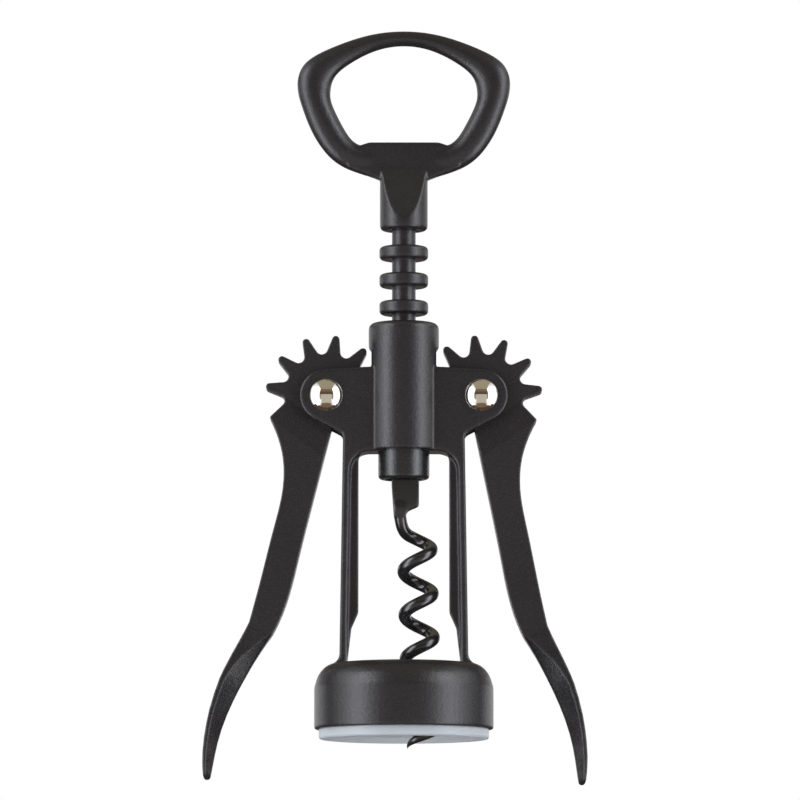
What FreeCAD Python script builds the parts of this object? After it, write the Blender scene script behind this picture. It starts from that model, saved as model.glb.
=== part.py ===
import FreeCAD, Part
import math
import os

from FreeCAD import Placement, Rotation, Vector

# Wing corkscrew with a crown-cap opener handle.  Millimetres, +Z up, the front faces -Y.
# The origin is the centre of the bottle neck's mouth plane, on the axis of the spindle.

SIZES = {
    # Round rack, carried by the spindle
    "ring_pitch": 6.636,
    "ring_radius": 5.875,
    "ring_thickness": 3.2,
    "ring_edge_round": 0.95,
    "mesh_drop": 1.75,
    "spindle_neck_radius": 2.85,
    "spindle_stub_radius": 3.9,
    "spindle_stub_length": 11.0,
    "spindle_rib_height": 0.35,
    "spindle_rib_length": 1.6,
    "edge_break": 0.3,
    "snap_edge_round": 0.1,
    # Guide bush on the spindle's lower end
    "bush_extra_radius": 0.275,
    "bush_length": 13.2,
    "mouth_clearance": 0.5,
    "bush_edge_round": 1.0,
    # Clearances
    "running_clearance": 0.05,
    "tube_clearance": 0.1,
    "seat_clearance": 0.02,
    "slot_clearance": 0.3,
    "tooth_slot_clearance": 0.8,
    # Central tube
    "tube_wall": 2.2,
    "tube_drop": 13.0,
    "tube_rise": 17.8,
    "tube_rim_round": 1.5,
    # Side plates and their bosses
    "pivot_height": 82.1,
    "boss_radius": 6.4,
    "plate_thickness": 1.75,
    "plate_edge_round": 0.5,
    "plate_top_slope": 2.7,
    "plate_lower_slope": 27.5,
    "arch_drop": 13.4,
    "arch_radius": 4.8,
    # Legs
    "leg_inset": 6.03,
    "leg_splay": 0.8,
    "leg_flange": 1.7,
    "leg_shoulder_round": 1.5,
    "leg_foot_flare": 2.5,
    "leg_seat_depth": 1.35,
    "flare_seat_depth": 0.45,
    "leg_depth": 3.72,
    "rib_half_thickness": 1.5,
    "rib_end_rise": 12.2,
    "rib_end_drop": 3.7,
    "rib_end_step": 1.15,
    "rib_end_round": 2.0,
    "rib_head_round": 2.6,
    "rib_head_length": 3.2,
    "rib_head_rise": 0.6,
    # Bell
    "bell_radius": 21.4,
    "bell_bottom": 2.3,
    "bell_top": 18.0,
    "bell_wall": 1.8,
    "shoulder_width": 5.0,
    "shoulder_height": 7.0,
    "bell_rim_round": 0.5,
    # Neck guide
    "lip_inset": 1.08,
    "lip_round": 0.6,
    "guide_wall": 3.95,
    "lip_ledge": 2.6,
    "neck_lead_in": 1.2,
    "neck_depth": 11.0,
    # Levers
    "tooth_addendum": 2.03,
    "tooth_dedendum": 2.57,
    "tooth_nose_radius": 0.9,
    "tooth_valley_radius": 1.4,
    "sector_half_thickness": 2.65,
    "arm_half_thickness": 3.55,
    "pocket_clearance": 0.15,
    "sector_ramp": 6.0,
    "lever_lift": 142.2,
    "lever_play": 1.4,
    # Pivots
    "pin_radius": 2.0,
    "dome_radius": 3.9,
    "dome_height": 1.9,
    "dome_rim": 0.35,
    # Worm
    "wire_radius": 1.48,
    "helix_radius": 3.46,
    "helix_pitch": 10.54,
    "helix_drop": 10.26,
    "worm_length": 58.0,
    "tip_taper_length": 10.0,
    "worm_point_radius": 0.12,
    "worm_offset": 2.95,
    "worm_tilt": 1.4,
    "lead_in_offset": 0.6,
    "lead_in_depth": 0.5,
    "lead_in_straight": 0.8,
    "lead_in_drop": 2.6,
    "lead_in_shift": 0.3,
    "shank_left": 2.95,
    "shank_right": 3.65,
    "shank_half_thickness": 1.2,
    "shank_drop": 6.52,
    "shank_neck_drop": 2.6,
    "neck_left_reach": 1.45,
    "neck_right_reach": 1.5,
    "shank_notch_drop": 1.3,
    "shank_notch_round": 1.5,
    "shank_side_rise": 5.0,
    "shank_side_round": 6.0,
    "tang_half_width": 2.6,
    "tang_height": 8.0,
    "worm_pin_radius": 0.8,
    # Handle
    "collar_radius": 5.75,
    "handle_gap": 3.95,
    "collar_edge_round": 1.0,
    "handle_socket_depth": 10.0,
    "web_half_thickness": 1.85,
    "web_flat_start": 2.6,
    "web_flat_end": 14.8,
    "web_top": 21.35,
}

TOUCH = 1e-4
LOOP_SECTIONS = 36
BLADE_SECTIONS = 14
RING_COUNT = 7
RINGS_ABOVE_MESH = 6
TEETH_PER_TURN = 12
TOOTH_COUNT = 7
TAPER_SECTIONS = 8
TAPER_POWER = 1.6
HELIX_STEPS = 12
HELIX_START_TURN = 0.38

doc = FreeCAD.newDocument("wing_corkscrew")
sheet = doc.addObject("Spreadsheet::Sheet", "sizes")
for row, (alias, number) in enumerate(SIZES.items(), start=1):
    cell = f"A{row}"
    sheet.set(cell, str(number))
    sheet.setAlias(cell, alias)
doc.recompute()


def size(alias):
    """The number that the sheet holds under an alias."""
    return float(sheet.get(alias))


# ---------------------------------------------------------------- derived sizes

pitch_radius = size("ring_pitch") * TEETH_PER_TURN / (2 * math.pi)
tip_radius = pitch_radius + size("tooth_addendum")
root_radius = pitch_radius - size("tooth_dedendum")
pivot_offset = size("ring_radius") + pitch_radius
slot_half_width = size("sector_half_thickness") + size("slot_clearance")
slot_radius = tip_radius + size("tooth_slot_clearance")
plate_half_depth = slot_half_width + size("plate_thickness")
bush_radius = size("ring_radius") + size("bush_extra_radius")
tube_bore = bush_radius + size("tube_clearance")
tube_radius = tube_bore + size("tube_wall")
mesh_height = size("pivot_height") - size("mesh_drop")
top_ring_height = mesh_height + (RINGS_ABOVE_MESH - 0.5) * size("ring_pitch")
ring_heights = [top_ring_height - index * size("ring_pitch") for index in range(RING_COUNT)]
stub_top = ring_heights[-1] - size("ring_thickness") / 2
stub_bottom = stub_top - size("spindle_stub_length")
stub_middle = (stub_top + stub_bottom) / 2
bush_bottom = stub_top - size("running_clearance") - size("bush_length")
shank_bottom = bush_bottom - size("shank_drop")
helix_first_side = shank_bottom - size("helix_drop")
pin_height = stub_bottom + size("tang_height") / 2
collar_bottom = top_ring_height + size("ring_thickness") / 2 + size("handle_gap")
socket_top = collar_bottom + size("handle_socket_depth")
tube_top = size("pivot_height") + size("tube_rise")
tube_bottom = size("pivot_height") - size("tube_drop")
arch_height = size("pivot_height") - size("arch_drop")
leg_outer_foot = size("bell_radius") - size("leg_inset")
leg_outer_top = leg_outer_foot - size("leg_splay")
rib_tip_reach = leg_outer_top - size("leg_depth")
lip_radius = size("bell_radius") - size("lip_inset")
neck_bore = size("bell_radius") - size("bell_wall") - size("running_clearance") - size("guide_wall")
top_opening_radius = neck_bore - size("lip_ledge")


# ---------------------------------------------------------------- helpers


def unit(angle):
    """Unit vector of a sketch plane at an angle in degrees."""
    return Vector(math.cos(math.radians(angle)), math.sin(math.radians(angle)), 0)


def rounded(corners):
    """Closed outline through (x, y, radius) corners: straight runs joined by tangent arcs."""
    count = len(corners)
    starts, ends, middles = [], [], []
    for index, (x, y, radius) in enumerate(corners):
        corner = Vector(x, y, 0)
        back = Vector(*corners[index - 1][:2], 0) - corner
        ahead = Vector(*corners[(index + 1) % count][:2], 0) - corner
        if radius <= 0:
            starts.append(corner)
            ends.append(corner)
            middles.append(None)
            continue
        half_angle = back.getAngle(ahead) / 2
        setback = radius / math.tan(half_angle)
        back.normalize()
        ahead.normalize()
        bisector = (back + ahead).normalize()
        centre = corner + bisector * (radius / math.sin(half_angle))
        starts.append(corner + back * setback)
        ends.append(corner + ahead * setback)
        middles.append(centre - bisector * radius)
    pieces = []
    for index in range(count):
        if middles[index] is not None:
            pieces.append(Part.Arc(starts[index], middles[index], ends[index]))
        following = starts[(index + 1) % count]
        if ends[index].distanceToPoint(following) > TOUCH:
            pieces.append(Part.LineSegment(ends[index], following))
    return pieces


def mirrored(corners):
    """The corners of a half outline followed by their mirror images across the Y axis."""
    return corners + [(-x, y, radius) for x, y, radius in reversed(corners)]


def new_body(name):
    body = doc.addObject("PartDesign::Body", name)
    body.Label = name
    return body


def add_sketch(body, name, role, pieces, height=0.0):
    """A sketch on one of the body's own origin planes, moved out along its normal."""
    sketch = body.newObject("Sketcher::SketchObject", name)
    plane = next(feature for feature in body.Origin.OriginFeatures if feature.Role == role)
    sketch.AttachmentSupport = [(plane, "")]
    sketch.MapMode = "FlatFace"
    sketch.AttachmentOffset = Placement(Vector(0, 0, height), Rotation())
    for piece in pieces:
        sketch.addGeometry(piece, False)
    return sketch


def add_pad(body, name, sketch, length, midplane=False):
    """A pad whose length is an expression on the sheet."""
    pad = body.newObject("PartDesign::Pad", name)
    pad.Profile = sketch
    pad.Midplane = midplane
    pad.setExpression("Length", length)
    doc.recompute()
    return pad


def add_pocket(body, name, sketch, length, midplane=False, reverse=False):
    """A pocket whose depth is an expression on the sheet."""
    pocket = body.newObject("PartDesign::Pocket", name)
    pocket.Profile = sketch
    pocket.Midplane = midplane
    pocket.Reversed = reverse
    pocket.setExpression("Length", length)
    doc.recompute()
    return pocket


def add_turned(body, name, corners):
    """Turns a profile of (radius, height, rounding) corners about the Z axis."""
    sketch = add_sketch(body, name + "_profile", "XZ_Plane", rounded(corners))
    turned = body.newObject("PartDesign::Revolution", name)
    turned.Profile = sketch
    turned.ReferenceAxis = (sketch, ["V_Axis"])
    turned.Angle = 360
    doc.recompute()
    return turned


def round_edges(body, name, base, radius, wanted):
    """Rounds the edges of a feature that a test picks out."""
    names = [f"Edge{index}" for index, edge in enumerate(base.Shape.Edges, start=1) if wanted(edge)]
    fillet = body.newObject("PartDesign::Fillet", name)
    fillet.Base = (base, names)
    fillet.setExpression("Radius", radius)
    doc.recompute()
    return fillet


def circle(x, y, radius):
    return [Part.Circle(Vector(x, y, 0), Vector(0, 0, 1), radius)]


def slab(outline, half_depth):
    """Solid between two copies of a front-view outline, half_depth either side of the middle."""
    face = Part.Face(Part.Wire(Part.__sortEdges__([piece.toShape() for piece in outline])))
    face.rotate(Vector(), Vector(1, 0, 0), 90)
    face.translate(Vector(0, half_depth, 0))
    return face.extrude(Vector(0, -2 * half_depth, 0))


def cross_hole(radius, half_length, height=0.0):
    """Cylinder along Y to cut a cross hole with."""
    return Part.makeCylinder(radius, 2 * half_length, Vector(0, -half_length, height), Vector(0, 1, 0))


# ---------------------------------------------------------------- frame casting


def shoulder_height(radius, inset=0.0):
    """Height of the bell's elliptical shoulder at a radius, or of its inner face with an inset."""
    start = size("bell_radius") - size("shoulder_width")
    rise = size("shoulder_height") - inset
    run = size("shoulder_width") - inset
    share = min(max((radius - start) / run, 0.0), 1.0)
    return size("bell_top") - size("shoulder_height") + rise * math.sqrt(1 - share**2)


def shoulder_arc(inset):
    """Quarter ellipse of the bell's shoulder, from its flat top down to its upright wall."""
    centre_x = size("bell_radius") - size("shoulder_width")
    centre_y = size("bell_top") - size("shoulder_height")
    centre = Vector(centre_x, centre_y, 0)
    run = size("shoulder_width") - inset
    rise = size("shoulder_height") - inset
    curve = Part.BSplineCurve()
    curve.interpolate(
        [centre + Vector(run * unit(angle).x, rise * unit(angle).y, 0) for angle in range(90, -1, -15)],
        InitialTangent=Vector(1, 0, 0),
        FinalTangent=Vector(0, -1, 0),
    )
    return curve


def chain(points):
    corners = [Vector(x, y, 0) for x, y in points]
    return [Part.LineSegment(first, second) for first, second in zip(corners, corners[1:])]


def quarter_round(centre, radius):
    """Rounding of a lower outer corner in a turned profile."""
    return Part.Arc(centre + unit(-90) * radius, centre + unit(-45) * radius, centre + unit(0) * radius)


def make_frame_casting():
    body = new_body("frame_casting")
    # The plates, the arch and the flanges of both legs are one outline.
    boss = Vector(-pivot_offset, size("pivot_height"), 0)
    upper_normal = 90 + size("plate_top_slope")
    lower_normal = 270 - size("plate_lower_slope")
    spread = math.radians(lower_normal - upper_normal) / 2
    boss_corner = boss + unit((upper_normal + lower_normal) / 2) * (size("boss_radius") / math.cos(spread))
    upper_touch = boss + unit(upper_normal) * size("boss_radius")
    lower_touch = boss + unit(lower_normal) * size("boss_radius")
    peak = upper_touch.y - upper_touch.x * math.tan(math.radians(size("plate_top_slope")))
    leg_top = -leg_outer_top
    leg_foot = -leg_outer_foot
    flange = size("leg_flange")
    shoulder_drop = (lower_touch.x - leg_top) * math.tan(math.radians(size("plate_lower_slope")))
    leg_shoulder = lower_touch.y + shoulder_drop
    flare_end = leg_foot - size("leg_foot_flare")
    seat = size("bell_top") - size("leg_seat_depth")
    flare_seat = shoulder_height(math.hypot(flare_end, plate_half_depth)) - size("flare_seat_depth")
    flare_top = shoulder_height(-flare_end)
    half_outline = [
        (0.0, peak, 0.0),
        (boss_corner.x, boss_corner.y, size("boss_radius")),
        (leg_top, leg_shoulder, size("leg_shoulder_round")),
        (leg_foot, flare_top + size("leg_foot_flare") / 2, size("leg_foot_flare")),
        (flare_end, flare_seat, 0.0),
        (leg_foot, seat, 0.0),
        (leg_foot + flange, seat, 0.0),
        (leg_top + flange, arch_height, size("arch_radius")),
    ]
    outline = half_outline + [(-x, y, radius) for x, y, radius in reversed(half_outline[1:])]
    plates_sketch = add_sketch(body, "plates_outline", "XZ_Plane", rounded(outline))
    plates = add_pad(
        body, "plates_and_legs", plates_sketch,
        "2 * (sizes.sector_half_thickness + sizes.slot_clearance + sizes.plate_thickness)", True)

    def plate_rim(edge):
        on_face = all(abs(abs(vertex.Y) - plate_half_depth) < TOUCH for vertex in edge.Vertexes)
        above = max(vertex.Z for vertex in edge.Vertexes) > size("bell_top") - TOUCH
        return on_face and above

    round_edges(body, "plate_rounding", plates, "sizes.plate_edge_round", plate_rim)

    # A central rib stiffens each leg; it runs out near the foot.
    rib_tip = -rib_tip_reach
    rib_end = size("bell_top") + size("rib_end_rise")
    rib_head = arch_height + size("rib_head_rise")
    for name, side in (("left_rib", 1), ("right_rib", -1)):
        corners = [
            (side * (leg_top + flange / 2), rib_head, 0.0),
            (side * (leg_foot + flange / 2), seat, 0.0),
            (side * (leg_foot + flange), seat, 0.0),
            (side * (leg_foot + flange + size("rib_end_step")), rib_end - size("rib_end_drop"),
             size("rib_end_round")),
            (side * rib_tip, rib_end, size("rib_end_round")),
            (side * rib_tip, arch_height, size("rib_head_round")),
            (side * (rib_tip + size("rib_head_length")), rib_head, 0.0),
        ]
        add_pad(body, name, add_sketch(body, name + "_outline", "XZ_Plane", rounded(corners)),
                "2 * sizes.rib_half_thickness", True)

    bell_side = size("bell_top") - size("shoulder_height")
    flat_end = size("bell_radius") - size("shoulder_width")
    wall_inside = size("bell_radius") - size("bell_wall")
    ceiling = size("bell_top") - size("bell_wall")
    bell_profile = [shoulder_arc(0.0), shoulder_arc(size("bell_wall"))]
    rim = size("bell_rim_round")
    rim_centre = Vector(size("bell_radius") - rim, size("bell_bottom") + rim, 0)
    bell_profile += chain([(size("bell_radius"), bell_side), (size("bell_radius"), rim_centre.y)])
    bell_profile.append(quarter_round(rim_centre, rim))
    bell_profile += chain([(rim_centre.x, size("bell_bottom")), (wall_inside, size("bell_bottom")),
                           (wall_inside, bell_side)])
    bell_profile += chain([(flat_end, ceiling), (top_opening_radius, ceiling),
                           (top_opening_radius, size("bell_top")), (flat_end, size("bell_top"))])
    profile = add_sketch(body, "bell_profile", "XZ_Plane", bell_profile)
    bell = body.newObject("PartDesign::Revolution", "bell")
    bell.Profile = profile
    bell.ReferenceAxis = (profile, ["V_Axis"])
    bell.Angle = 360
    doc.recompute()

    add_turned(body, "tube", [
        (0.0, tube_bottom, 0.0),
        (tube_radius, tube_bottom, 0.0),
        (tube_radius, tube_top, size("tube_rim_round")),
        (0.0, tube_top, 0.0),
    ])
    add_pocket(body, "tube_bore", add_sketch(body, "bore_circle", "XY_Plane", circle(0, 0, tube_bore),
               tube_top), "sizes.pivot_height + sizes.tube_rise - sizes.bell_top")
    for name, side in (("left", -1), ("right", 1)):
        slot = add_sketch(body, name + "_slot_circle", "XZ_Plane",
                          circle(side * pivot_offset, size("pivot_height"), slot_radius))
        add_pocket(body, name + "_slot", slot,
                   "2 * (sizes.sector_half_thickness + sizes.slot_clearance)", True)
        hole = add_sketch(body, name + "_pivot_circle", "XZ_Plane",
                          circle(side * pivot_offset, size("pivot_height"),
                                 size("pin_radius") + size("seat_clearance")))
        add_pocket(body, name + "_pivot_hole", hole, "4 * sizes.boss_radius", True)
    return body


# ---------------------------------------------------------------- neck guide


def make_neck_guide():
    """Plastic ring pressed into the bell; its ledge stops the bottle's lip."""
    body = new_body("neck_guide")
    gap = size("running_clearance")
    bell_side = size("bell_top") - size("shoulder_height")
    outside = size("bell_radius") - size("bell_wall") - gap
    flat_end = size("bell_radius") - size("shoulder_width")
    top = size("bell_top") - size("bell_wall") - gap
    inside = top_opening_radius
    lip_round = size("lip_round")
    pieces = [shoulder_arc(size("bell_wall") + gap)]
    pieces += chain([(flat_end, top), (inside, top), (inside, size("neck_depth")),
                     (neck_bore, size("neck_depth")), (neck_bore, size("neck_lead_in")),
                     (neck_bore + size("neck_lead_in"), 0.0), (lip_radius - lip_round, 0.0)])
    pieces.append(quarter_round(Vector(lip_radius - lip_round, lip_round, 0), lip_round))
    pieces += chain([(lip_radius, lip_round), (lip_radius, size("bell_bottom")),
                     (outside, size("bell_bottom")), (outside, bell_side)])
    profile = add_sketch(body, "neck_guide_profile", "XZ_Plane", pieces)
    ring = body.newObject("PartDesign::Revolution", "guide_ring")
    ring.Profile = profile
    ring.ReferenceAxis = (profile, ["V_Axis"])
    ring.Angle = 360
    doc.recompute()
    return body


# ---------------------------------------------------------------- spindle, bush, worm


def make_rack_spindle():
    """Round rack: one turned bar with the rings, a stub for the bush and a slot for the worm."""
    body = new_body("rack_spindle")
    neck = size("spindle_neck_radius")
    ring = size("ring_radius")
    half = size("ring_thickness") / 2
    edge = size("ring_edge_round")
    stub = size("spindle_stub_radius")
    rib = stub + size("spindle_rib_height")
    half_rib = size("spindle_rib_length") / 2
    corners = [(0.0, socket_top, 0.0), (neck, socket_top, size("edge_break"))]
    for height in ring_heights:
        corners += [(neck, height + half, 0.0), (ring, height + half, edge), (ring, height - half, edge)]
        if height != ring_heights[-1]:
            corners.append((neck, height - half, 0.0))
    corners += [
        (stub, stub_top, 0.0),
        (stub, stub_middle + half_rib, 0.0),
        (rib, stub_middle + half_rib, size("snap_edge_round")),
        (rib, stub_middle - half_rib, size("snap_edge_round")),
        (stub, stub_middle - half_rib, 0.0),
        (stub, stub_bottom, size("edge_break")),
        (0.0, stub_bottom, 0.0),
    ]
    add_turned(body, "rack", corners)
    slot_x = size("tang_half_width") + size("seat_clearance")
    slot_y = size("shank_half_thickness") + size("seat_clearance")
    slot_corners = [(-slot_x, -slot_y), (slot_x, -slot_y), (slot_x, slot_y), (-slot_x, slot_y)]
    slot = rounded([(x, y, 0.0) for x, y in slot_corners])
    add_pocket(body, "tang_slot", add_sketch(body, "tang_slot_outline", "XY_Plane", slot, stub_bottom),
               "sizes.tang_height + 2 * sizes.seat_clearance", reverse=True)
    pin_hole = circle(0, pin_height, size("worm_pin_radius") + size("seat_clearance"))
    add_pocket(body, "worm_pin_hole", add_sketch(body, "worm_pin_circle", "XZ_Plane", pin_hole),
               "4 * sizes.spindle_stub_radius", True)
    return body


def make_guide_bush():
    """Plain bush that keeps the spindle central in the tube; it snaps over the stub's rib."""
    body = new_body("guide_bush")
    gap = size("running_clearance")
    bore = size("spindle_stub_radius") + gap
    groove = bore + size("spindle_rib_height")
    half_groove = size("spindle_rib_length") / 2 + gap
    edge = size("bush_edge_round")
    top = stub_top - gap
    shank_reach = math.hypot(max(size("shank_left"), size("shank_right")), size("shank_half_thickness"))
    mouth = shank_reach + size("mouth_clearance")
    add_turned(body, "bush", [
        (mouth, bush_bottom, size("edge_break")),
        (bush_radius, bush_bottom, edge),
        (bush_radius, top, size("edge_break")),
        (bore, top, 0.0),
        (bore, stub_middle + half_groove, 0.0),
        (groove, stub_middle + half_groove, size("snap_edge_round")),
        (groove, stub_middle - half_groove, size("snap_edge_round")),
        (bore, stub_middle - half_groove, 0.0),
        (bore, stub_bottom, 0.0),
        (mouth, stub_bottom, 0.0),
    ])
    return body


def worm_axis_x(height):
    """The worm leans a little, so the axis of its helix moves out as it goes down."""
    drop = helix_first_side + size("helix_pitch") - height
    return size("worm_offset") + drop * math.tan(math.radians(size("worm_tilt")))


def helix_point(height):
    turn = 2 * math.pi * (height - helix_first_side) / size("helix_pitch")
    radius = size("helix_radius")
    return Vector(worm_axis_x(height) + radius * math.cos(turn), radius * math.sin(turn), height)


def worm_spine(lead_x):
    """Centre line of the wire: straight in the shank, then bending into the helix."""
    low = shank_bottom
    start = helix_first_side + HELIX_START_TURN * size("helix_pitch")
    tip = shank_bottom - size("worm_length")
    count = int((start - tip) / size("helix_pitch") * HELIX_STEPS) + 1
    path = [
        Vector(lead_x, 0, low + size("lead_in_depth")),
        Vector(lead_x, 0, low - size("lead_in_straight")),
        Vector(lead_x + size("lead_in_shift") / 2, size("lead_in_shift"), low - size("lead_in_drop")),
    ]
    path += [helix_point(start - (start - tip) * index / count) for index in range(count + 1)]
    spine = Part.BSplineCurve()
    spine.interpolate(path)
    return spine


def make_shank(lead_x):
    """Flat top of the worm: a tang for the spindle's slot and a neck that runs into the wire."""
    half = size("tang_half_width")
    left, right = -size("shank_left"), size("shank_right")
    low = shank_bottom
    tang_top = stub_bottom + size("tang_height")
    shank_top = stub_bottom - size("running_clearance")
    neck_left = lead_x - size("neck_left_reach")
    neck_right = lead_x + size("neck_right_reach")
    neck_bottom = low - size("shank_neck_drop")
    outline = rounded([
        (-half, tang_top, size("edge_break")),
        (half, tang_top, size("edge_break")),
        (half, shank_top, 0.0),
        (right, shank_top, 0.0),
        (right, low, 0.0),
        (neck_right, low - size("shank_notch_drop"), size("shank_notch_round")),
        (neck_right, neck_bottom, 0.0),
        (neck_left, neck_bottom, 0.0),
        (left, low + size("shank_side_rise"), size("shank_side_round")),
        (left, shank_top, 0.0),
        (-half, shank_top, 0.0),
    ])
    return slab(outline, size("shank_half_thickness"))


def make_worm():
    """Open helix of round wire with a sharp tip, forged flat at the top where it enters the spindle."""
    wire = size("wire_radius")
    taper = size("tip_taper_length")
    lead_x = helix_point(helix_first_side + size("helix_pitch") / 2).x - size("lead_in_offset")
    spine = worm_spine(lead_x)
    total = spine.length()

    def wire_section(distance, radius):
        parameter = spine.parameterAtDistance(distance, spine.FirstParameter)
        centre = spine.value(parameter)
        return Part.Wire(Part.Circle(centre, spine.tangent(parameter)[0], radius).toShape())

    full = spine.copy()
    full.segment(spine.FirstParameter, spine.parameterAtDistance(total - taper, spine.FirstParameter))
    coil = Part.Wire(full.toShape()).makePipeShell([wire_section(0.0, wire)], True, True)
    tip_sections = []
    for index in range(TAPER_SECTIONS + 1):
        share = index / TAPER_SECTIONS
        radius = max(wire * (1 - share**TAPER_POWER), size("worm_point_radius"))
        tip_sections.append(wire_section(total - taper + (taper - TOUCH) * share, radius))
    point = Part.makeLoft(tip_sections, True, False)
    hole_radius = size("worm_pin_radius") + size("seat_clearance")
    hole = cross_hole(hole_radius, size("spindle_stub_radius"), pin_height)
    feature = doc.addObject("Part::Feature", "worm")
    feature.Label = "worm"
    feature.Shape = make_shank(lead_x).cut(hole).fuse(coil).fuse(point).removeSplitter()
    return feature


def make_worm_pin():
    """Cross pin through the spindle and the worm's tang; the bush keeps it in."""
    pin = doc.addObject("Part::Cylinder", "worm_pin")
    pin.Label = "worm_pin"
    pin.setExpression("Radius", "sizes.worm_pin_radius")
    pin.setExpression("Height", "2 * (sizes.spindle_stub_radius - 2 * sizes.running_clearance)")
    half = size("spindle_stub_radius") - 2 * size("running_clearance")
    pin.Placement = Placement(Vector(0, half, pin_height), Rotation(Vector(1, 0, 0), 90))
    return pin


# ---------------------------------------------------------------- handle

# Points round the right half of the loop, from its top to the web, above the collar's bottom.
LOOP_OUTER = [(0.0, 48.68), (9.0, 47.6), (18.3, 44.3), (24.2, 40.4), (25.7, 35.2), (24.5, 29.9),
              (21.88, 23.52), (17.8, 17.85), (13.1, 14.8), (8.0, 13.1)]
LOOP_INNER = [(0.0, 45.05), (7.3, 43.7), (13.8, 40.2), (16.95, 36.95), (17.7, 33.6), (17.3, 30.8),
              (15.3, 26.45), (12.65, 22.25), (9.8, 20.7), (6.6, 21.0)]
LOOP_HALF_THICKNESS = [1.9, 2.0, 2.4, 2.8, 3.1, 3.1, 3.0, 2.7, 2.3, 1.9]

# Right half of the web between the limbs: (x, depth below the web's top, rounding)
WEB_CORNERS = [
    (8.3, 0.0, 1.2),
    (10.6, 0.75, 0.8),
    (12.4, 1.2, 0.0),
    (13.6, 5.95, 0.0),
    (6.7, 8.6, 0.0),
    (5.0, 9.25, 0.0),
]


def smooth_through(points):
    """Smooth curve through points of the front view, with equal parameter steps between them."""
    curve = Part.BSplineCurve()
    steps = [float(step) for step in range(len(points))]
    curve.interpolate([Vector(x, 0, z) for x, z in points], Parameters=steps)
    return curve


def smooth_value(values, position):
    """Value at a position along a list, eased between its entries."""
    index = min(int(position), len(values) - 2)
    share = position - index
    eased = share * share * (3 - 2 * share)
    return values[index] * (1 - eased) + values[index + 1] * eased


def loop_section(outer, inner, half_thickness):
    """Ellipse across the limb, from its outer to its inner edge."""
    centre = (outer + inner) / 2
    across = outer - inner
    half_width = across.Length / 2
    across.normalize()
    normal = across.cross(Vector(0, 1, 0))
    ring = Part.Circle(Vector(), Vector(0, 0, 1), 1.0).toShape()
    matrix = FreeCAD.Matrix(
        across.x * half_width, 0, normal.x, centre.x,
        0, half_thickness, 0, 0,
        across.z * half_width, 0, normal.z, centre.z,
        0, 0, 0, 1,
    )
    return Part.Wire(ring.transformGeometry(matrix))


def make_loop():
    """The limbs and the top of the loop, as one loft of ellipses between two smooth curves."""
    outer = smooth_through([(-x, z) for x, z in LOOP_OUTER[:0:-1]] + LOOP_OUTER)
    inner = smooth_through([(-x, z) for x, z in LOOP_INNER[:0:-1]] + LOOP_INNER)
    halves = LOOP_HALF_THICKNESS[:0:-1] + LOOP_HALF_THICKNESS
    last = len(halves) - 1
    sections = []
    for index in range(LOOP_SECTIONS + 1):
        position = last * index / LOOP_SECTIONS
        half_thickness = smooth_value(halves, position)
        sections.append(loop_section(outer.value(position), inner.value(position), half_thickness))
    return Part.makeLoft(sections, True, False)


def make_opener_handle():
    """Cast loop with a crown-cap opener, a flat web and a collar that takes the spindle."""
    web_corners = mirrored([(x, size("web_top") - drop, radius) for x, drop, radius in WEB_CORNERS])
    web = slab(rounded(web_corners), size("web_half_thickness"))
    collar_height = size("web_flat_end") + size("collar_radius")
    collar = Part.makeCylinder(size("collar_radius"), collar_height)
    collar = collar.makeFillet(size("collar_edge_round"), [
        edge for edge in collar.Edges
        if isinstance(edge.Curve, Part.Circle) and abs(edge.Curve.Center.z) < TOUCH
    ])
    # Two sloping cuts thin the collar down to the web.
    thinning = size("collar_radius") - size("web_half_thickness")
    slope = thinning / (size("web_flat_end") - size("web_flat_start"))
    foot_depth = size("collar_radius") + slope * size("web_flat_start")
    front = [(foot_depth, 0.0), (size("web_half_thickness"), size("web_flat_end")),
             (size("web_half_thickness"), collar_height)]
    wedge_corners = front + [(-depth, height) for depth, height in reversed(front)] + front[:1]
    reach = size("collar_radius")
    wedge_wire = Part.makePolygon([Vector(-reach, depth, height) for depth, height in wedge_corners])
    wedge = Part.Face(wedge_wire).extrude(Vector(2 * reach, 0, 0))
    socket = Part.makeCylinder(size("spindle_neck_radius") + size("seat_clearance"),
                               size("handle_socket_depth") + size("seat_clearance"))
    handle = make_loop().fuse([web, collar.common(wedge)]).cut(socket)
    feature = doc.addObject("Part::Feature", "opener_handle")
    feature.Label = "opener_handle"
    feature.Shape = handle.removeSplitter()
    feature.Placement = Placement(Vector(0, 0, collar_bottom), Rotation())
    return feature


# ---------------------------------------------------------------- levers

# Edges of the arm in the left lever's own frame, with the pivot at the origin.
ARM_OUTER = [(-13.47, -5.48), (-12.07, -8.37), (-10.11, -14.91), (-9.85, -22.21), (-11.96, -32.9),
             (-14.85, -45.78), (-17.04, -54.78)]
ARM_INNER = [(1.62, -7.49), (-1.77, -21.98), (-5.41, -38.03), (-8.43, -50.44), (-11.47, -57.58)]

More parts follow.
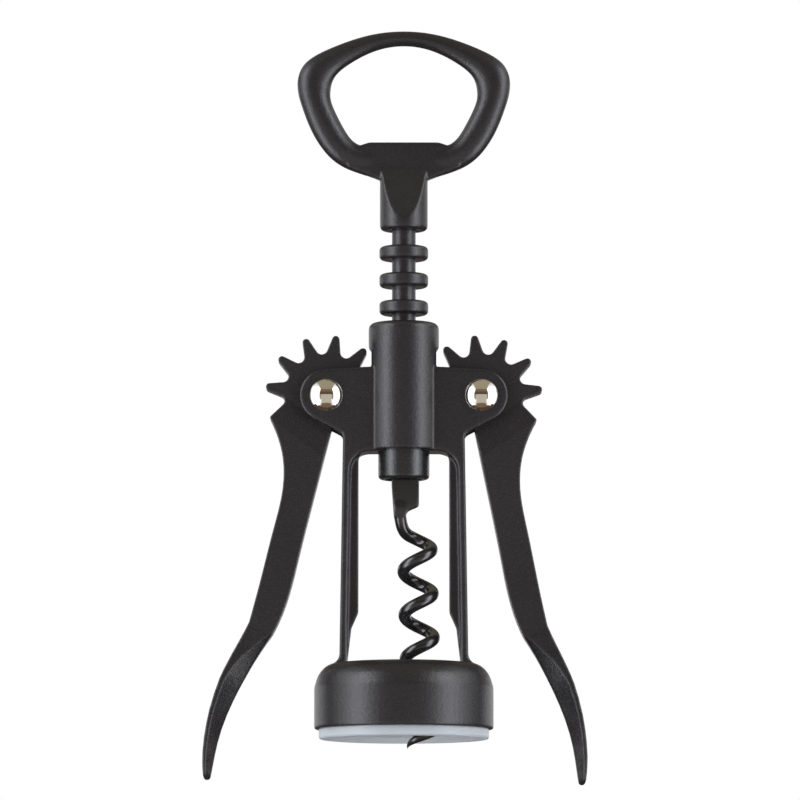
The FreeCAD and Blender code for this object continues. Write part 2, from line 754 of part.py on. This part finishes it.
# Thumb blade below the arm: its outer and inner edge in the same frame, and at each pair of points
# the width of the flat edge strip, half the width of the thumb face and of the inner ridge.
BLADE_OUTER = [(-17.04, -54.78), (-18.96, -58.71), (-20.74, -62.12), (-22.42, -65.53), (-23.9, -69.04),
               (-25.67, -75.05), (-26.69, -80.46), (-27.21, -85.51), (-27.18, -90.16), (-26.77, -92.46)]
BLADE_INNER = [(-11.47, -57.58), (-13.75, -61.08), (-15.78, -64.49), (-17.66, -68.0), (-19.29, -71.21),
               (-21.46, -76.12), (-23.23, -81.34), (-24.3, -86.14), (-24.98, -90.45), (-25.37, -92.55)]
BLADE_STRIP = [5.9, 3.7, 2.3, 1.4, 1.15, 1.05, 1.0, 0.95, 0.8, 0.45]
BLADE_HALF = [3.55, 3.65, 3.95, 4.3, 4.7, 5.1, 5.1, 4.6, 3.4, 1.9]
BLADE_RIDGE = [3.25, 2.2, 1.6, 1.3, 1.1, 0.95, 0.85, 0.75, 0.6, 0.45]


def tooth_outline(shoulder):
    """The gear teeth, from the first valley to the lever's shoulder, as arcs and tangent flanks."""
    nose = size("tooth_nose_radius")
    valley = size("tooth_valley_radius")
    half_step = 180 / TEETH_PER_TURN
    nose_centre = Vector(tip_radius - nose, 0, 0)
    valley_centre = unit(half_step) * (root_radius + valley)
    span = valley_centre - nose_centre
    flank_normal = math.degrees(math.atan2(span.y, span.x) - math.acos((nose + valley) / span.Length))
    nose_touch = nose_centre + unit(flank_normal) * nose
    valley_touch = valley_centre - unit(flank_normal) * valley
    valley_floor = unit(half_step) * root_radius
    phase = -math.degrees(size("mesh_drop") / pitch_radius)
    pieces = []
    for index in range(TOOTH_COUNT):
        turn = Rotation(Vector(0, 0, 1), phase + index * 2 * half_step)

        def place(point, flip=1):
            return turn.multVec(Vector(point.x, flip * point.y, 0))

        middle = (valley_touch + valley_floor) / 2 - valley_centre
        bend = valley_centre + middle.normalize() * valley
        pieces.append(Part.Arc(place(valley_floor, -1), place(bend, -1), place(valley_touch, -1)))
        pieces.append(Part.LineSegment(place(valley_touch, -1), place(nose_touch, -1)))
        pieces.append(Part.Arc(place(nose_touch, -1), place(Vector(tip_radius, 0, 0)), place(nose_touch)))
        pieces.append(Part.LineSegment(place(nose_touch), place(valley_touch)))
        pieces.append(Part.Arc(place(valley_touch), place(bend), place(valley_floor)))
    first_valley = unit(phase - half_step) * root_radius
    # The last valley runs on as an arc until it meets the flank up to the arm's shoulder.
    last_angle = phase + (2 * TOOTH_COUNT - 1) * half_step
    centre = unit(last_angle) * (root_radius + valley)
    flank = shoulder - centre
    flank_angle = math.degrees(math.atan2(flank.y, flank.x))
    touch_angle = flank_angle + math.degrees(math.acos(valley / flank.Length))
    floor_angle = last_angle - 180
    touch = centre + unit(touch_angle) * valley
    bend = centre + unit((touch_angle + floor_angle) / 2) * valley
    pieces.append(Part.Arc(unit(last_angle) * root_radius, bend, touch))
    pieces.append(Part.LineSegment(touch, shoulder))
    return pieces, first_valley


def make_lever_shape():
    """The left lever: toothed sector, arm and thumb blade, in its own frame."""
    teeth, first_valley = tooth_outline(Vector(*ARM_OUTER[0], 0))
    outer = Part.BSplineCurve()
    outer.interpolate([Vector(x, z, 0) for x, z in ARM_OUTER])
    inner = Part.BSplineCurve()
    inner.interpolate([Vector(x, z, 0) for x, z in reversed(ARM_INNER)])
    arm_end = Part.LineSegment(Vector(*ARM_OUTER[-1], 0), Vector(*ARM_INNER[-1], 0))
    hub_edge = Part.LineSegment(Vector(*ARM_INNER[0], 0), first_valley)
    outline = teeth + [outer, arm_end, inner, hub_edge]
    thin = slab(outline, size("sector_half_thickness"))
    thick = slab(outline, size("arm_half_thickness"))
    # The arm steps down to the sector round the boss and ahead of the teeth.
    step = size("arm_half_thickness") - size("sector_half_thickness")
    side_play = slot_half_width - size("sector_half_thickness")
    pocket_low = size("boss_radius") + size("pocket_clearance") - side_play
    pocket_high = pocket_low + step
    remainders = []
    for side in (-1, 1):
        cone = Part.makeCone(pocket_low, pocket_high + step, 2 * step,
                             Vector(0, side * size("sector_half_thickness"), 0), Vector(0, side, 0))
        remainders.append(cone)
    reach = 3 * tip_radius
    edge_angle = 90 + size("plate_top_slope") + size("lever_lift")
    for side in (-1, 1):
        low = size("sector_half_thickness") * side
        high = (size("arm_half_thickness") + step) * side
        ramp_end = pocket_low + 2 * size("sector_ramp")
        profile = [Vector(-reach, low, 0), Vector(pocket_low, low, 0), Vector(ramp_end, high, 0),
                   Vector(-reach, high, 0), Vector(-reach, low, 0)]
        block = Part.Face(Part.makePolygon(profile)).extrude(Vector(0, 0, 2 * reach))
        block.translate(Vector(0, 0, -reach))
        block.rotate(Vector(), Vector(0, 1, 0), -edge_angle)
        remainders.append(block)
    lever = thick.cut(remainders).fuse(thin)
    outer_edge = smooth_through(BLADE_OUTER)
    inner_edge = smooth_through(BLADE_INNER)
    last = len(BLADE_STRIP) - 1
    sections = []
    for index in range(BLADE_SECTIONS + 1):
        position = last * index / BLADE_SECTIONS
        start = outer_edge.value(position)
        across = inner_edge.value(position) - start
        depth = across.Length
        across.normalize()
        half = smooth_value(BLADE_HALF, position)
        ridge = smooth_value(BLADE_RIDGE, position)
        strip = min(smooth_value(BLADE_STRIP, position), depth - size("running_clearance"))
        front = [(0.0, half), (strip, half), (depth, ridge)]
        rear = [(along, -side) for along, side in reversed(front)]
        points = [start + across * along + Vector(0, side, 0) for along, side in front + rear]
        sections.append(Part.makePolygon(points + points[:1]))
    blade = Part.makeLoft(sections, True, True)
    lever = lever.fuse(blade)
    bore = cross_hole(size("pin_radius") + size("running_clearance"), 2 * size("arm_half_thickness"))
    return lever.cut(bore).removeSplitter()


def make_lever(name, side, shape):
    if side > 0:
        shape = shape.mirror(Vector(), Vector(1, 0, 0))
    feature = doc.addObject("Part::Feature", name)
    feature.Label = name
    feature.Shape = shape
    feature.Placement = Placement(Vector(side * pivot_offset, 0, size("pivot_height")),
                                  Rotation(Vector(0, 1, 0), size("lever_play")))
    return feature


# ---------------------------------------------------------------- pivots


def make_pivot_pin(name, side):
    """Rivet: a shaft through both plates and a domed head against the front plate."""
    body = new_body(name)
    dome = size("dome_radius")
    face = plate_half_depth + size("seat_clearance")
    crown = face + size("dome_height")
    shaft_end = plate_half_depth + size("dome_height") / 2
    rim = face + size("dome_rim")
    shaft = size("pin_radius")
    pieces = chain([(0.0, crown), (0.0, -shaft_end), (shaft, -shaft_end), (shaft, face),
                    (dome, face), (dome, rim)])
    pieces.append(dome_arc(dome, rim, crown))
    turn_pin(body, pieces)
    place_on_pivot(body, side, 90)
    return body


def dome_arc(radius, rim, crown):
    """Arc of a shallow dome from its crown, on the axis, down to its rim."""
    rise = crown - rim
    curve = (radius**2 + rise**2) / (2 * rise)
    centre = Vector(0, crown - curve, 0)
    half_way = math.degrees(math.atan2(rim - centre.y, radius)) / 2 + 45
    return Part.Arc(Vector(radius, rim, 0), centre + unit(half_way) * curve, Vector(0, crown, 0))


def make_pivot_cap(name, side):
    """Domed cap pressed on to the shaft's end behind the rear plate."""
    body = new_body(name)
    dome = size("dome_radius")
    face = plate_half_depth + size("seat_clearance")
    crown = face + size("dome_height")
    rim = face + size("dome_rim")
    socket = size("pin_radius") + size("seat_clearance")
    socket_end = plate_half_depth + size("dome_height") / 2 + size("seat_clearance")
    pieces = chain([(0.0, crown), (0.0, socket_end), (socket, socket_end), (socket, face), (dome, face),
                    (dome, rim)])
    pieces.append(dome_arc(dome, rim, crown))
    turn_pin(body, pieces)
    place_on_pivot(body, side, -90)
    return body


def turn_pin(body, pieces):
    profile = add_sketch(body, body.Label + "_profile", "XZ_Plane", pieces)
    turned = body.newObject("PartDesign::Revolution", body.Label + "_turned")
    turned.Profile = profile
    turned.ReferenceAxis = (profile, ["V_Axis"])
    turned.Angle = 360
    doc.recompute()


def place_on_pivot(body, side, tilt):
    body.Placement = Placement(Vector(side * pivot_offset, 0, size("pivot_height")),
                               Rotation(Vector(1, 0, 0), tilt))


# ---------------------------------------------------------------- assembly

lever_shape = make_lever_shape()
parts = [
    make_frame_casting(),
    make_neck_guide(),
    make_rack_spindle(),
    make_guide_bush(),
    make_worm(),
    make_worm_pin(),
    make_opener_handle(),
    make_lever("left_lever", -1, lever_shape),
    make_lever("right_lever", 1, lever_shape),
    make_pivot_pin("left_pivot_pin", -1),
    make_pivot_pin("right_pivot_pin", 1),
    make_pivot_cap("left_pivot_cap", -1),
    make_pivot_cap("right_pivot_cap", 1),
]
doc.recompute()

for item in doc.Objects:
    if "Invalid" in item.State or "Error" in item.State:
        raise RuntimeError(f"{item.Label} is in state {item.State}")
for part in parts:
    if part.Shape.isNull() or not part.Shape.isValid():
        raise RuntimeError(f"{part.Label} has no valid shape")

os.makedirs("parts", exist_ok=True)
for part in parts:
    part.Shape.exportStep(f"parts/{part.Label}.step")
    box = part.Shape.BoundBox
    print(f"{part.Label:16s} {len(part.Shape.Solids)} solid, {part.Shape.Volume:9.2f} mm3, "
          f"z {box.ZMin:.2f} to {box.ZMax:.2f}, x {box.XMin:.2f} to {box.XMax:.2f}")
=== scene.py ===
import math

import bmesh
import bpy
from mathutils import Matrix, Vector


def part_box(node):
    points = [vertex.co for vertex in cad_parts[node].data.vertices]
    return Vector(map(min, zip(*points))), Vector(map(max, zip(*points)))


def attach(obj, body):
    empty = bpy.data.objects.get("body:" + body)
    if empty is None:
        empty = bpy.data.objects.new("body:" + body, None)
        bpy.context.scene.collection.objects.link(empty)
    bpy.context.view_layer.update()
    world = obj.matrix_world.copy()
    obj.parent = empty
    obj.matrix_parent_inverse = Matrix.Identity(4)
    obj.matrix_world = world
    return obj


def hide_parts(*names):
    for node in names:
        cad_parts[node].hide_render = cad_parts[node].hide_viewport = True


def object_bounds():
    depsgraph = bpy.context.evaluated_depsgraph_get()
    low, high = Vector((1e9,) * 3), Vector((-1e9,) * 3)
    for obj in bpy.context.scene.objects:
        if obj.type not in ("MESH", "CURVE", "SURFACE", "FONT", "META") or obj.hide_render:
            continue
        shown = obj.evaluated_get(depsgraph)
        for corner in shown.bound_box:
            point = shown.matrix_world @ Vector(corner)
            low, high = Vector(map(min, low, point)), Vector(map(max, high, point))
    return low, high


MM = 0.001
WHITE = (1.0, 1.0, 1.0)

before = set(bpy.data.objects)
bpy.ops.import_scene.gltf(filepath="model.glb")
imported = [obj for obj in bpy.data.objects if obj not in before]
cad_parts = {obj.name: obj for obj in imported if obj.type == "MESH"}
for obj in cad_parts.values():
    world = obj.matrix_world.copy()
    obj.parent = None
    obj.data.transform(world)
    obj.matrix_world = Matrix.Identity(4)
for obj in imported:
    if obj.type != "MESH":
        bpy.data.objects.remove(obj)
cad_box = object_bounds()
scene = bpy.context.scene


def add_object(name, data):
    made = bpy.data.objects.new(name, data)
    scene.collection.objects.link(made)
    return made


def smooth_faces(mesh):
    mesh.polygons.foreach_set("use_smooth", [True] * len(mesh.polygons))


# ---------------------------------------------------------------- camera

# A long lens a little below the bell's rim, looking slightly upwards.
CAMERA_DISTANCE = 1.345
CAMERA_HEIGHT = -0.0725
VIEW_CENTRE = Vector((-0.00092, 0.0, 0.0814))
VIEW_WIDTH = 0.192
SENSOR_MM = 36.0
CLIP_START, CLIP_END = 0.05, 20.0


def make_camera():
    data = bpy.data.cameras.new("camera")
    camera = add_object("camera", data)
    camera.location = Vector((VIEW_CENTRE.x, -CAMERA_DISTANCE, CAMERA_HEIGHT))
    sight = VIEW_CENTRE - camera.location
    camera.rotation_mode = "QUATERNION"
    camera.rotation_quaternion = sight.to_track_quat("-Z", "Y")
    data.sensor_width = SENSOR_MM
    data.lens = SENSOR_MM * sight.length / VIEW_WIDTH
    data.clip_start = CLIP_START
    data.clip_end = CLIP_END
    scene.camera = camera


# ---------------------------------------------------------------- nodes


class Graph:
    """Short ways to add and link the nodes of one material or world."""

    def __init__(self, tree):
        self.tree = tree
        tree.nodes.clear()

    def add(self, kind, settings=(), **inputs):
        """A node with its settings; inputs are values or sockets, with _ for the spaces in their names."""
        node = self.tree.nodes.new(kind)
        for key, value in dict(settings).items():
            setattr(node, key, value)
        for name, value in inputs.items():
            self.put(node, name.replace("_", " "), value)
        return node

    def put(self, node, name, value):
        """Sets or links an input, by its name or by its number as text."""
        socket = node.inputs[int(name)] if name.isdigit() else node.inputs[name]
        if isinstance(value, bpy.types.NodeSocket):
            self.tree.links.new(value, socket)
        else:
            socket.default_value = value

    def math(self, operation, first, second=0.0):
        node = self.add("ShaderNodeMath", {"operation": operation})
        self.put(node, "0", first)
        self.put(node, "1", second)
        return node.outputs[0]

    def product(self, first, *others):
        for other in others:
            first = self.math("MULTIPLY", first, other)
        return first

    def remap(self, value, low, high, to_low=0.0, to_high=1.0):
        """The value's way from low to high, which may be the smaller, as a number from to_low to to_high."""
        node = self.add("ShaderNodeMapRange", Value=value)
        for name, number in zip(("From Min", "From Max", "To Min", "To Max"), (low, high, to_low, to_high)):
            node.inputs[name].default_value = number
        return node.outputs[0]

    def mix(self, share, first, second):
        """The first colour, covered by a share of the second."""
        node = self.add("ShaderNodeMix", {"data_type": "RGBA"})
        self.put(node, "Factor", share)
        for name, value in (("A", first), ("B", second)):
            socket = next(s for s in node.inputs if s.name == name and s.type == "RGBA")
            if isinstance(value, bpy.types.NodeSocket):
                self.tree.links.new(value, socket)
            else:
                socket.default_value = (*value, 1.0)
        return next(s for s in node.outputs if s.type == "RGBA")

    def noise(self, vector, per_metre, detail=2.0, roughness=0.5):
        node = self.add("ShaderNodeTexNoise", Vector=vector, Scale=per_metre, Detail=detail,
                        Roughness=roughness)
        return node.outputs["Fac"]

    def bump(self, height, depth, **inputs):
        node = self.add("ShaderNodeBump", Height=height, Strength=1.0, Distance=depth, **inputs)
        return node.outputs["Normal"]


def new_material(name):
    material = bpy.data.materials.new(name)
    material.use_nodes = True
    graph = Graph(material.node_tree)
    shader = graph.add("ShaderNodeBsdfPrincipled")
    output = graph.add("ShaderNodeOutputMaterial")
    graph.tree.links.new(shader.outputs["BSDF"], output.inputs["Surface"])
    place = graph.add("ShaderNodeTexCoord").outputs["Object"]
    return material, graph, shader, place


# ---------------------------------------------------------------- materials

# The middle of a noise's range, where it has most of its values.
NOISE_MIDDLE = (0.35, 0.65)
NOISE_WIDE = (0.3, 0.7)

# Black coatings. Grain, peel and cloud are noises from fine to coarse, per metre.
GRAIN, PEEL, CLOUD = 2600.0, 1000.0, 45.0
PEEL_SHARE = 0.8
FLECK_RANGE = (0.62, 0.72)
FLECK_SHARE = 0.25
FLECK_COLOUR = (0.085, 0.086, 0.092)
# Painted highlight on sharp edges: a lighter colour in place of the lamps' reflection in rounded edges, with
# a little less roughness there.
EDGE_HIGHLIGHT_SHARE = 0.8
EDGE_HIGHLIGHT_COLOUR = (0.105, 0.102, 0.106)
EDGE_ROUGHNESS_DROP = 0.10
EDGE_SAMPLES = 4
EDGE_COSINES = (0.99, 0.90)

# The neck guide's plastic.
NECK_FLOW, NECK_GRAIN = 90.0, 1800.0
NECK_COLOURS = ((0.44, 0.47, 0.495), (0.49, 0.515, 0.535))
NECK_ROUGHNESS = (0.36, 0.48)
NECK_GLOW_SHARE = 0.6
NECK_GLOW_DEPTH = 4.0 * MM
NECK_GRAIN_DEPTH = 0.01 * MM

# Polished metals.
SMEAR, MARKS = 350.0, 4000.0
MARK_DEPTH = 0.002 * MM


def edge_share(graph, radius):
    """0 on open surfaces, rising to 1 on edges sharper than a radius; and the normal with those rounded."""
    rounded = graph.add("ShaderNodeBevel", {"samples": EDGE_SAMPLES}, Radius=radius).outputs[0]
    plain = graph.add("ShaderNodeNewGeometry").outputs["Normal"]
    product = graph.add("ShaderNodeVectorMath", {"operation": "DOT_PRODUCT"})
    graph.put(product, "0", rounded)
    graph.put(product, "1", plain)
    return graph.remap(product.outputs["Value"], *EDGE_COSINES), rounded


def coating(name, dark, light, roughness, grain_depth, specular, edge=0.4 * MM):
    """Powder coat: fine grain, faint orange peel, flecks of light, and a painted highlight along its edges,
    where it is a little glossier too.
    """
    material, graph, shader, place = new_material(name)
    grain = graph.noise(place, GRAIN, 3.0, 0.6)
    peel = graph.noise(place, PEEL, 1.0)
    cloud = graph.noise(place, CLOUD, 3.0)
    edge_highlight_mask, rounded = edge_share(graph, edge)
    fleck = graph.remap(grain, *FLECK_RANGE)
    colour = graph.mix(graph.remap(cloud, *NOISE_MIDDLE), dark, light)
    colour = graph.mix(graph.math("MULTIPLY", fleck, FLECK_SHARE), colour, FLECK_COLOUR)
    # Painted highlight along the edges, in place of their reflection of the lamps.
    colour = graph.mix(graph.math("MULTIPLY", edge_highlight_mask, EDGE_HIGHLIGHT_SHARE), colour, EDGE_HIGHLIGHT_COLOUR)
    graph.put(shader, "Base Color", colour)
    rough = graph.remap(grain, *NOISE_WIDE, *roughness)
    rough = graph.math("SUBTRACT", rough, graph.math("MULTIPLY", edge_highlight_mask, EDGE_ROUGHNESS_DROP))
    graph.put(shader, "Roughness", rough)
    shader.inputs["Specular IOR Level"].default_value = specular
    height = graph.math("ADD", grain, graph.math("MULTIPLY", peel, PEEL_SHARE))
    graph.put(shader, "Normal", graph.bump(height, grain_depth, Normal=rounded))
    return material


def neck_plastic():
    """Pale moulded plastic with faint flow marks."""
    material, graph, shader, place = new_material("neck_plastic")
    flow = graph.noise(place, NECK_FLOW, 3.0)
    grain = graph.noise(place, NECK_GRAIN, 2.0)
    graph.put(shader, "Base Color", graph.mix(graph.remap(flow, *NOISE_WIDE), *NECK_COLOURS))
    graph.put(shader, "Roughness", graph.remap(flow, *NOISE_WIDE, *NECK_ROUGHNESS))
    shader.inputs["Subsurface Weight"].default_value = NECK_GLOW_SHARE
    shader.inputs["Subsurface Radius"].default_value = (NECK_GLOW_DEPTH,) * 3
    shader.inputs["Subsurface Scale"].default_value = 1.0
    graph.put(shader, "Normal", graph.bump(grain, NECK_GRAIN_DEPTH))
    return material


def polished(name, colours, roughness):
    """Bright metal with faint smears and polishing marks."""
    material, graph, shader, place = new_material(name)
    smear = graph.noise(place, SMEAR, 3.0)
    marks = graph.noise(place, MARKS, 1.0)
    graph.put(shader, "Base Color", graph.mix(graph.remap(smear, *NOISE_MIDDLE), *colours))
    shader.inputs["Metallic"].default_value = 1.0
    graph.put(shader, "Roughness", graph.remap(smear, *NOISE_MIDDLE, *roughness))
    graph.put(shader, "Normal", graph.bump(marks, MARK_DEPTH))
    return material


# ---------------------------------------------------------------- pieces

# Softened castings: a smoothing pass moves each vertex half-way to its neighbours' middle.
SMOOTHING = 0.5
BLEND_PASSES = 60

# Rivet heads: height of the dome with its straight rim, and the shaft behind it.
HEAD_HEIGHT = 1.9 * MM
HEAD_RIM = 0.08 * MM
SHAFT_RADIUS = 2.0 * MM
HEAD_STEPS = 28
TURN_STEPS = 96
SHARP_DEGREES = 30.0


def dress(node, material):
    """Puts one material on a node that keeps its mesh."""
    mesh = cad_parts[node].data
    mesh.materials.clear()
    mesh.materials.append(material)


def blend_zone(shape, low, high):
    """Lets one form run into the next: more smoothing between two heights, in a zone that narrows."""
    edit = bmesh.new()
    edit.from_mesh(shape)
    for step in range(BLEND_PASSES):
        inset = (high - low) / 2 * step / BLEND_PASSES
        zone = [vertex for vertex in edit.verts if low + inset < vertex.co.z < high - inset]
        bmesh.ops.smooth_vert(edit, verts=zone, factor=SMOOTHING,
                              use_axis_x=True, use_axis_y=True, use_axis_z=True)
    edit.to_mesh(shape)
    edit.free()


def soften(name, node, body, material, voxel, passes, blend=None):
    """A node's shape with its edges rounded as a casting's are, in place of the node."""
    source = add_object(name + "_source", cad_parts[node].data.copy())
    remesh = source.modifiers.new("even", "REMESH")
    remesh.mode = "VOXEL"
    remesh.voxel_size = voxel
    smooth = source.modifiers.new("round", "SMOOTH")
    smooth.factor = SMOOTHING
    smooth.iterations = passes
    shape = bpy.data.meshes.new_from_object(source.evaluated_get(bpy.context.evaluated_depsgraph_get()))
    bpy.data.objects.remove(source)
    if blend:
        blend_zone(shape, *blend)
    shape.materials.clear()
    shape.materials.append(material)
    smooth_faces(shape)
    piece = add_object(name, shape)
    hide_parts(node)
    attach(piece, body)


def turned(name, profile, centre_x, centre_z):
    """Solid of revolution about a line along Y, from (radius, y) points that start and end on the line."""
    build = bmesh.new()
    rings = []
    for radius, y in profile:
        count = TURN_STEPS if radius > 0 else 1
        angles = [2 * math.pi * step / TURN_STEPS for step in range(count)]
        rings.append([build.verts.new((centre_x + radius * math.cos(a), y, centre_z + radius * math.sin(a)))
                      for a in angles])
    for first, second in zip(rings, rings[1:]):
        for step in range(TURN_STEPS):
            following = (step + 1) % TURN_STEPS
            corners = [first[step % len(first)], first[following % len(first)],
                       second[following % len(second)], second[step % len(second)]]
            build.faces.new(list(dict.fromkeys(corners)))
    bmesh.ops.recalc_face_normals(build, faces=build.faces)
    mesh = bpy.data.meshes.new(name)
    build.to_mesh(mesh)
    build.free()
    smooth_faces(mesh)
    mesh.set_sharp_from_angle(angle=math.radians(SHARP_DEGREES))
    return mesh


def rivet_pin(side, material):
    """Riveted pivot pin: a polished dome in front of the plates on a plain shaft."""
    node = f"{side}_pivot_pin"
    low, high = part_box(node)
    head = (high.x - low.x) / 2
    face = low.y + HEAD_HEIGHT
    rise = HEAD_HEIGHT - HEAD_RIM
    curve = (head**2 + rise**2) / (2 * rise)
    reach = math.asin(head / curve)
    angles = [reach * step / HEAD_STEPS for step in range(HEAD_STEPS + 1)]
    profile = [(curve * math.sin(a), low.y + curve * (1 - math.cos(a))) for a in angles]
    profile += [(head, face), (SHAFT_RADIUS, face), (SHAFT_RADIUS, high.y), (0.0, high.y)]
    mesh = turned(f"{side}_rivet", profile, (low.x + high.x) / 2, (low.z + high.z) / 2)
    mesh.materials.append(material)
    piece = add_object(f"{side}_rivet", mesh)
    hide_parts(node)
    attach(piece, "frame")


# ---------------------------------------------------------------- light and surroundings

# The room that reflections show, by direction: height is its Z, level |Z|, aside |X| and depth Y, with the
# camera's side at -Y. Each part covers those before it, and each of its bounds gives where the part begins to
# show and where it shows in full.
ROOM_COLOUR = (0.085, 0.062, 0.045)
ROOM_PARTS = {
    "wall": ((0.20, 0.14, 0.085),
             (("aside", 0.74, 0.68), ("depth", -0.30, -0.40), ("level", 0.20, 0.40))),
    "table": ((0.57, 0.53, 0.45),
              (("height", 0.12, 0.07), ("height", -0.69, -0.64), ("aside", 0.56, 0.52),
               ("depth", -0.30, -0.40))),
    "ceiling": ((0.36, 0.32, 0.23), (("height", 0.50, 0.62),)),
    "upper_reflector": (WHITE, (("height", 0.34, 0.42), ("height", 0.86, 0.76), ("aside", 0.50, 0.56))),
    "lower_reflector": (WHITE, (("height", -0.30, -0.38), ("height", -0.80, -0.72), ("aside", 0.40, 0.46),
                                ("depth", -0.30, -0.40))),
    "backdrop": (WHITE, (("height", -0.10, -0.02), ("height", 0.30, 0.15), ("depth", 0.10, 0.35))),
}
FILL_COLOUR = (0.15, 0.15, 0.155)

FLOOR_DROP = 0.075
FLOOR_REACH = 6.0
FLOOR_TONE = 3.0
FLOOR_COLOURS = ((0.90, 0.90, 0.90), (0.93, 0.93, 0.93))
FLOOR_ROUGHNESS = 0.8
FLOOR_GLOW = 0.78

SOFTBOX_COLOUR = (0.92, 0.94, 1.0)
SOFTBOX_POWER = {"left": 7.4, "right": 6.9}
PANEL_COLOUR = (0.92, 0.95, 1.0)
PANEL_POWER = 8.6


def make_world():
    """White for the camera, the room for reflections and an even fill for everything else."""
    world = bpy.data.worlds.new("studio")
    world.use_nodes = True
    scene.world = world
    graph = Graph(world.node_tree)
    split = graph.add("ShaderNodeSeparateXYZ", Vector=graph.add("ShaderNodeTexCoord").outputs["Generated"])
    measures = {
        "aside": graph.math("ABSOLUTE", split.outputs["X"]),
        "depth": split.outputs["Y"],
        "height": split.outputs["Z"],
        "level": graph.math("ABSOLUTE", split.outputs["Z"]),
    }
    room = ROOM_COLOUR
    for colour, bounds in ROOM_PARTS.values():
        shares = [graph.remap(measures[measure], begin, full) for measure, begin, full in bounds]
        room = graph.mix(graph.product(*shares), room, colour)
    path = graph.add("ShaderNodeLightPath")
    seen = graph.mix(path.outputs["Is Glossy Ray"], FILL_COLOUR, room)
    seen = graph.mix(path.outputs["Is Transmission Ray"], seen, WHITE)
    seen = graph.mix(path.outputs["Is Camera Ray"], seen, WHITE)
    background = graph.add("ShaderNodeBackground", Color=seen)
    output = graph.add("ShaderNodeOutputWorld")
    graph.tree.links.new(background.outputs[0], output.inputs["Surface"])


def make_floor():
    """Pale paper well below the object. It holds a shadow, and it doesn't block the lamps' lower parts."""
    mesh = bpy.data.meshes.new("floor")
    height = cad_box[0].z - FLOOR_DROP
    corners = [(x * FLOOR_REACH, y * FLOOR_REACH, height) for x, y in ((-1, -1), (1, -1), (1, 1), (-1, 1))]
    mesh.from_pydata(corners, [], [(0, 1, 2, 3)])
    floor = add_object("floor", mesh)
    material, graph, shader, place = new_material("floor_paper")
    tone = graph.noise(place, FLOOR_TONE)
    seen = graph.add("ShaderNodeLightPath").outputs["Is Camera Ray"]
    graph.put(shader, "Base Color", graph.mix(tone, *FLOOR_COLOURS))
    shader.inputs["Roughness"].default_value = FLOOR_ROUGHNESS
    shader.inputs["Emission Color"].default_value = (*WHITE, 1.0)
    graph.put(shader, "Emission Strength", graph.math("MULTIPLY", seen, FLOOR_GLOW))
    mesh.materials.append(material)
    floor.visible_glossy = False
    floor.visible_shadow = False


def area_lamp(name, azimuth, elevation, distance, width, height, power, colour):
    """Upright area light that faces the object; azimuth 0 is the camera's side, 90 the right."""
    light = bpy.data.lights.new(name, "AREA")
    light.shape = "RECTANGLE"
    light.size = width
    light.size_y = height
    light.energy = power
    light.color = colour
    lamp = add_object(name, light)
    around, above = math.radians(azimuth), math.radians(elevation)
    level = math.cos(above)
    away = Vector((math.sin(around) * level, -math.cos(around) * level, math.sin(above)))
    lamp.location = VIEW_CENTRE + away * distance
    lamp.rotation_mode = "QUATERNION"
    lamp.rotation_quaternion = (-away).to_track_quat("-Z", "Y")


def make_lamps():
    """On each side a tall narrow softbox, with a wide and dimmer panel behind it."""
    for side, turn in (("left", -1.0), ("right", 1.0)):
        area_lamp(f"{side}_softbox", azimuth=turn * 61.5, elevation=-1.5, distance=1.0,
                  width=0.38, height=1.9, power=SOFTBOX_POWER[side], colour=SOFTBOX_COLOUR)
        area_lamp(f"{side}_side_panel", azimuth=turn * 66.0, elevation=3.0, distance=1.03,
                  width=1.1, height=1.6, power=PANEL_POWER, colour=PANEL_COLOUR)


# ---------------------------------------------------------------- build


def make_pieces():
    black = coating("black_coating", dark=(0.0135, 0.0117, 0.0135), light=(0.0172, 0.0150, 0.0170),
                    roughness=(0.25, 0.37), grain_depth=0.045 * MM, specular=0.5)
    worm_coat = coating("worm_coating", dark=(0.0100, 0.0092, 0.0105), light=(0.0130, 0.0122, 0.0140),
                        roughness=(0.15, 0.22), grain_depth=0.0008 * MM, specular=0.7, edge=0.3 * MM)
    bush_black = coating("bush_plastic", dark=(0.012, 0.0115, 0.012), light=(0.016, 0.0155, 0.016),
                         roughness=(0.20, 0.30), grain_depth=0.030 * MM, specular=0.6)
    rivet = polished("rivet_nickel", ((0.80, 0.77, 0.72), (0.84, 0.81, 0.77)), (0.05, 0.10))
    pin_steel = polished("pin_steel", ((0.55, 0.55, 0.56), (0.62, 0.62, 0.63)), (0.25, 0.35))

    dress("rack_spindle", black)
    dress("neck_guide", neck_plastic())
    dress("guide_bush", bush_black)
    dress("worm_pin", pin_steel)
    for side in ("left", "right"):
        rivet_pin(side, rivet)
        dress(f"{side}_pivot_cap", rivet)
        soften(f"{side}_lever_cast", f"{side}_lever", f"{side}_arm", black,
               voxel=0.22 * MM, passes=5, blend=(-30.0 * MM, -5.0 * MM))
    soften("frame_cast", "frame_casting", "frame", black, voxel=0.25 * MM, passes=8)
    soften("handle_cast", "opener_handle", "spindle", black, voxel=0.25 * MM, passes=8)
    soften("worm_wire", "worm", "spindle", worm_coat,
           voxel=0.13 * MM, passes=22, blend=(52.5 * MM, 58.5 * MM))


make_camera()
make_world()
make_floor()
make_lamps()
make_pieces()

scene.view_settings.view_transform = "Standard"
